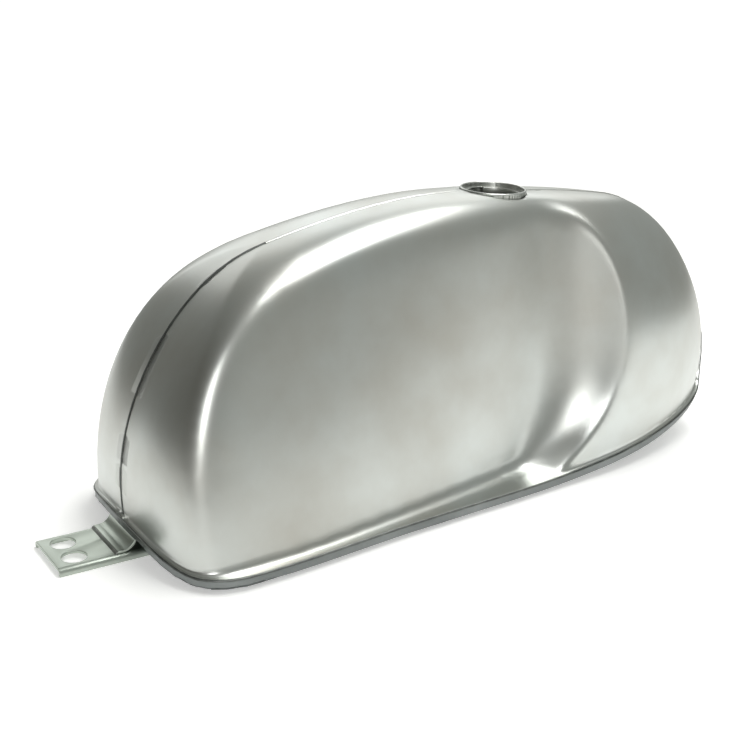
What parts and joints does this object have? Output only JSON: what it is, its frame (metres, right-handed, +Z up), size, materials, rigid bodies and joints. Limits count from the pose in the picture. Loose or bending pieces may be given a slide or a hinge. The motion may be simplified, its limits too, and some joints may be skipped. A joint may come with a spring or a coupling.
{
  "type": "motorcycle fuel tank",
  "caption": "Long rounded steel fuel tank with knee recesses, open filler neck, frame tunnel and a rear bolt-down bracket.",
  "frame": {"origin": "centre of the bounding box's underside, on the surface the tank stands on", "axes": "+X forward, from the rear bracket to the nose; +Y to the rider's left; +Z up"},
  "size_m": [0.6122, 0.2294, 0.2399],
  "materials": {
    "bare_sheet_steel": "bare pressed sheet, sanded satin",
    "weld_metal": "weld bead, partly dressed",
    "floor_steel": "bare pressed sheet, duller",
    "bracket_steel": "folded plate, satin, faintly greenish"
  },
  "bodies": {
    "root": {"right_shell": "bare_sheet_steel", "left_shell": "bare_sheet_steel", "filler_neck": "bare_sheet_steel", "filler_lock_ring": "bare_sheet_steel", "baffle": "bare_sheet_steel", "rear_seam_weld": "weld_metal", "crown_seam_weld": "weld_metal", "nose_seam_weld": "weld_metal", "right_rim_weld": "weld_metal", "left_rim_weld": "weld_metal", "right_tunnel_weld": "weld_metal", "left_tunnel_weld": "weld_metal", "nose_arch_weld": "weld_metal", "filler_weld": "weld_metal", "bracket_weld": "weld_metal", "right_tap_weld": "weld_metal", "left_tap_weld": "weld_metal", "right_floor": "floor_steel", "left_floor": "floor_steel", "tunnel": "floor_steel", "rear_bracket": "bracket_steel", "bracket_upright": "bracket_steel", "right_gusset": "bracket_steel", "left_gusset": "bracket_steel", "right_tap_boss": "bracket_steel", "left_tap_boss": "bracket_steel", "right_front_cup": "bracket_steel", "left_front_cup": "bracket_steel"}
  },
  "joints": []
}
